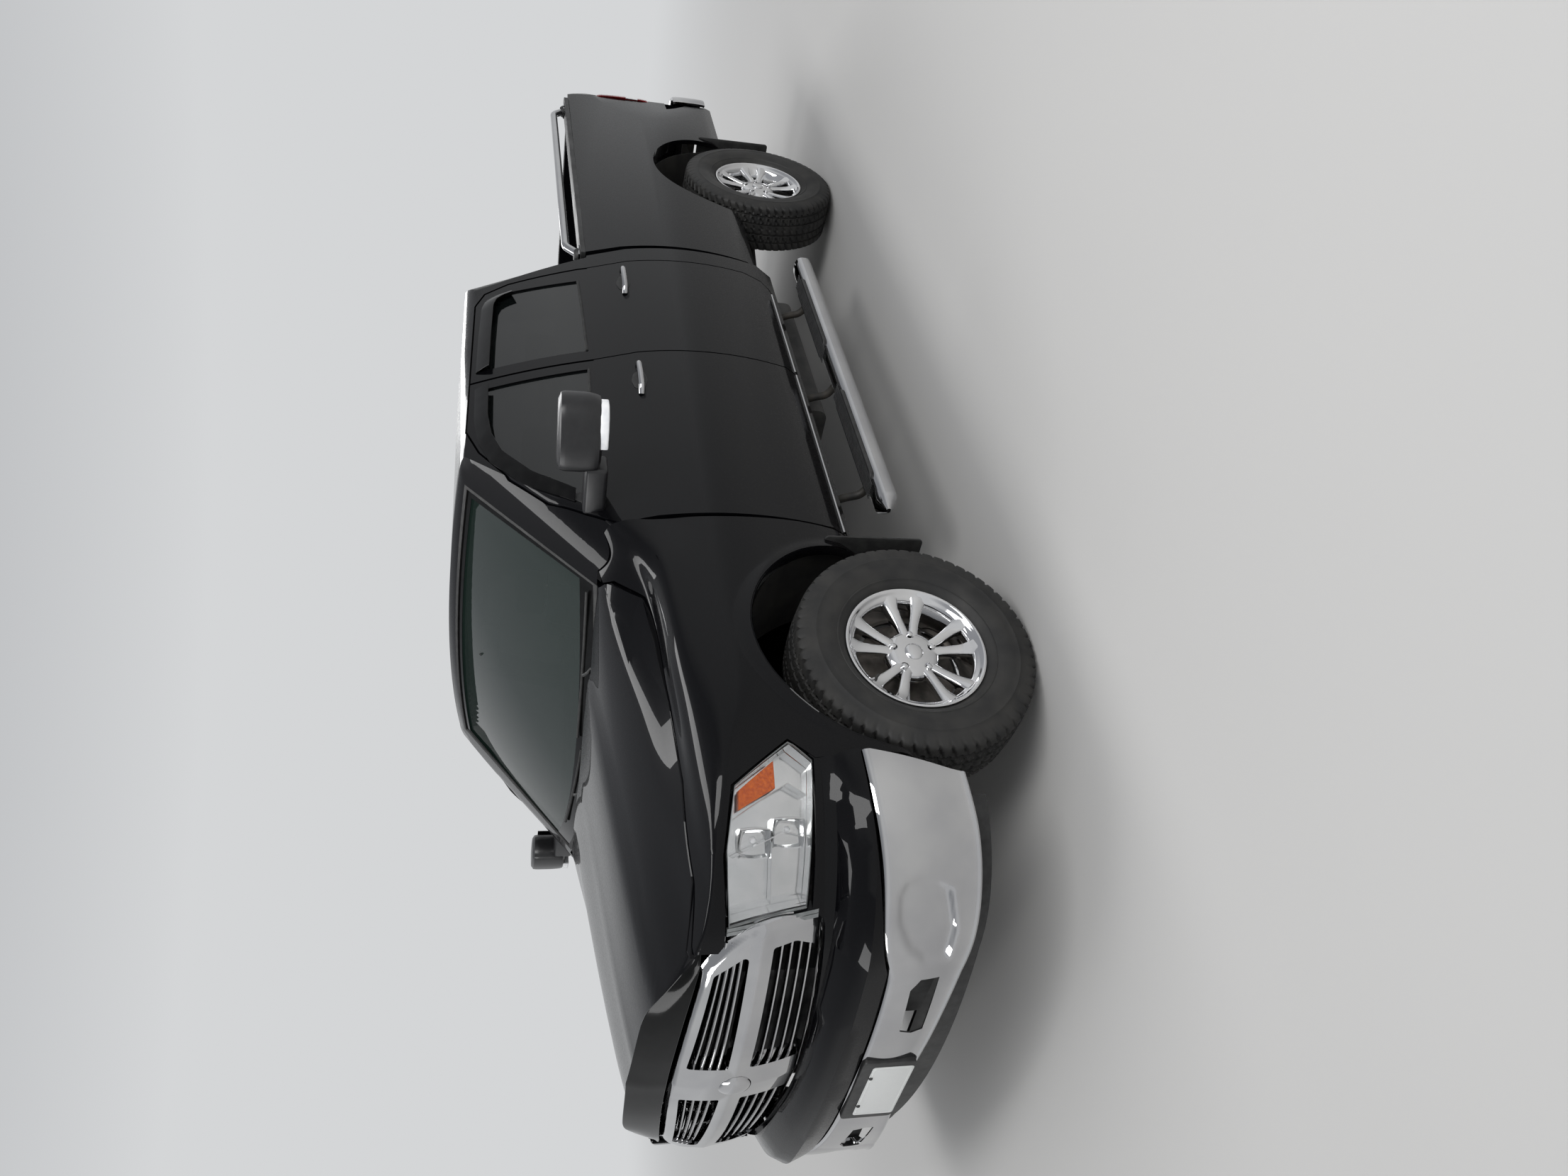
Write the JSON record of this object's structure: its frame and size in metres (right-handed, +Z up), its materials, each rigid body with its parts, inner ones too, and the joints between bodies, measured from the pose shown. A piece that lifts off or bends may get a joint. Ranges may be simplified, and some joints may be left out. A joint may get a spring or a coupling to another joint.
{
  "type": "pickup truck",
  "caption": "Full-size gloss-black pickup truck with four doors, hollow cab and box, chrome bumpers, grille, wheels, side steps and bed rails.",
  "frame": {"origin": "on the floor under the middle of the bounding box", "axes": "+X forward, +Y to the left, +Z up"},
  "size_m": [5.819, 2.576, 1.9149],
  "materials": {
    "body_paint": "gloss black",
    "clear_glass": "polished, green tint",
    "tinted_glass": "dark tint",
    "lamp_lens": "clear lens over a bright reflector",
    "red_lens": "red lens",
    "chrome": "polished",
    "black_plastic": "grained",
    "smoked_plastic": "smoked clear",
    "black_rubber": "matte",
    "tyre_rubber": "matte",
    "chassis_steel": "satin black",
    "cast_metal": "as cast",
    "alloy": "satin",
    "engine_alloy": "dull",
    "pipe_steel": "weathered",
    "tank_steel": "satin black",
    "cabin_plastic": "grained",
    "seat_cloth": "woven cloth"
  },
  "bodies": {
    "chassis": {"cab_shell": "body_paint", "cab_glass": "clear_glass", "front_fenders": "body_paint", "fascia": "body_paint", "headlamps": "lamp_lens", "grille": "chrome", "radiator": "alloy", "front_bumper": "chrome", "front_valance": "black_plastic", "plate_holder": "black_plastic", "cowl": "black_plastic", "wheel_liners": "black_plastic", "mud_flaps": "black_rubber", "cargo_box": "body_paint", "tail_lamps": "red_lens", "rail_caps": "black_plastic", "bed_rails": "chrome", "rear_bumper": "chrome", "running_boards": "chrome", "frame": "chassis_steel", "front_suspension": "chassis_steel", "rear_axle": "chassis_steel", "powertrain": "engine_alloy", "exhaust": "pipe_steel", "fuel_tank": "tank_steel", "dashboard": "cabin_plastic", "front_seats": "seat_cloth", "rear_bench": "seat_cloth"},
    "hood": {"hood": "body_paint", "hood_shield": "smoked_plastic"},
    "tailgate": {"tailgate": "body_paint"},
    "door_front_left": {"door_front_left": "body_paint", "glass_front_left": "tinted_glass", "mirror_left": "black_plastic"},
    "door_front_right": {"door_front_right": "body_paint", "glass_front_right": "tinted_glass", "mirror_right": "black_plastic"},
    "door_rear_left": {"door_rear_left": "body_paint", "glass_rear_left": "tinted_glass"},
    "door_rear_right": {"door_rear_right": "body_paint", "glass_rear_right": "tinted_glass"},
    "knuckle_left": {"knuckle_left": "cast_metal"},
    "knuckle_right": {"knuckle_right": "cast_metal"},
    "wheel_front_left": {"rim_front_left": "chrome", "tyre_front_left": "tyre_rubber"},
    "wheel_front_right": {"rim_front_right": "chrome", "tyre_front_right": "tyre_rubber"},
    "wheel_rear_left": {"rim_rear_left": "chrome", "tyre_rear_left": "tyre_rubber"},
    "wheel_rear_right": {"rim_rear_right": "chrome", "tyre_rear_right": "tyre_rubber"}
  },
  "joints": [
    {"name": "steering_left", "type": "hinge", "parent": "chassis", "child": "knuckle_left", "pos_m": [1.8995, 0.79, 0.401], "axis": [0, 0, 1], "range_deg": [-25.4, 44.6]},
    {"name": "steering_right", "type": "hinge", "parent": "chassis", "child": "knuckle_right", "pos_m": [1.8995, -0.79, 0.401], "axis": [0, 0, 1], "range_deg": [-25.4, 44.6]},
    {"name": "wheel_spin_front_left", "type": "hinge", "parent": "knuckle_left", "child": "wheel_front_left", "pos_m": [1.91176, 0.86247, 0.401], "axis": [0.1668, 0.986, 0], "continuous": true},
    {"name": "wheel_spin_front_right", "type": "hinge", "parent": "knuckle_right", "child": "wheel_front_right", "pos_m": [1.88724, -0.86247, 0.401], "axis": [0.1668, 0.986, 0], "continuous": true},
    {"name": "wheel_spin_rear_left", "type": "hinge", "parent": "chassis", "child": "wheel_rear_left", "pos_m": [-1.6695, 0.8575, 0.401], "axis": [0, 1, 0], "continuous": true},
    {"name": "wheel_spin_rear_right", "type": "hinge", "parent": "chassis", "child": "wheel_rear_right", "pos_m": [-1.6695, -0.8575, 0.401], "axis": [0, 1, 0], "continuous": true},
    {"name": "door_front_left_hinge", "type": "hinge", "parent": "chassis", "child": "door_front_left", "pos_m": [1.336, 1.003, 0.86], "axis": [0, 0, -1], "range_deg": [0, 65]},
    {"name": "door_front_right_hinge", "type": "hinge", "parent": "chassis", "child": "door_front_right", "pos_m": [1.336, -1.003, 0.86], "axis": [0, 0, 1], "range_deg": [0, 65]},
    {"name": "door_rear_left_hinge", "type": "hinge", "parent": "chassis", "child": "door_rear_left", "pos_m": [0.266, 1.003, 0.86], "axis": [0, 0, -1], "range_deg": [0, 65]},
    {"name": "door_rear_right_hinge", "type": "hinge", "parent": "chassis", "child": "door_rear_right", "pos_m": [0.266, -1.003, 0.86], "axis": [0, 0, 1], "range_deg": [0, 65]},
    {"name": "hood_hinge", "type": "hinge", "parent": "chassis", "child": "hood", "pos_m": [1.4445, 0, 1.392], "axis": [0, -1, 0], "range_deg": [0, 50]},
    {"name": "tailgate_hinge", "type": "hinge", "parent": "chassis", "child": "tailgate", "pos_m": [-2.7255, 0, 0.905], "axis": [0, -1, 0], "range_deg": [0, 90]}
  ],
  "couplings": [
    {"joint": "steering_right", "follows": "steering_left", "ratio": 1}
  ]
}
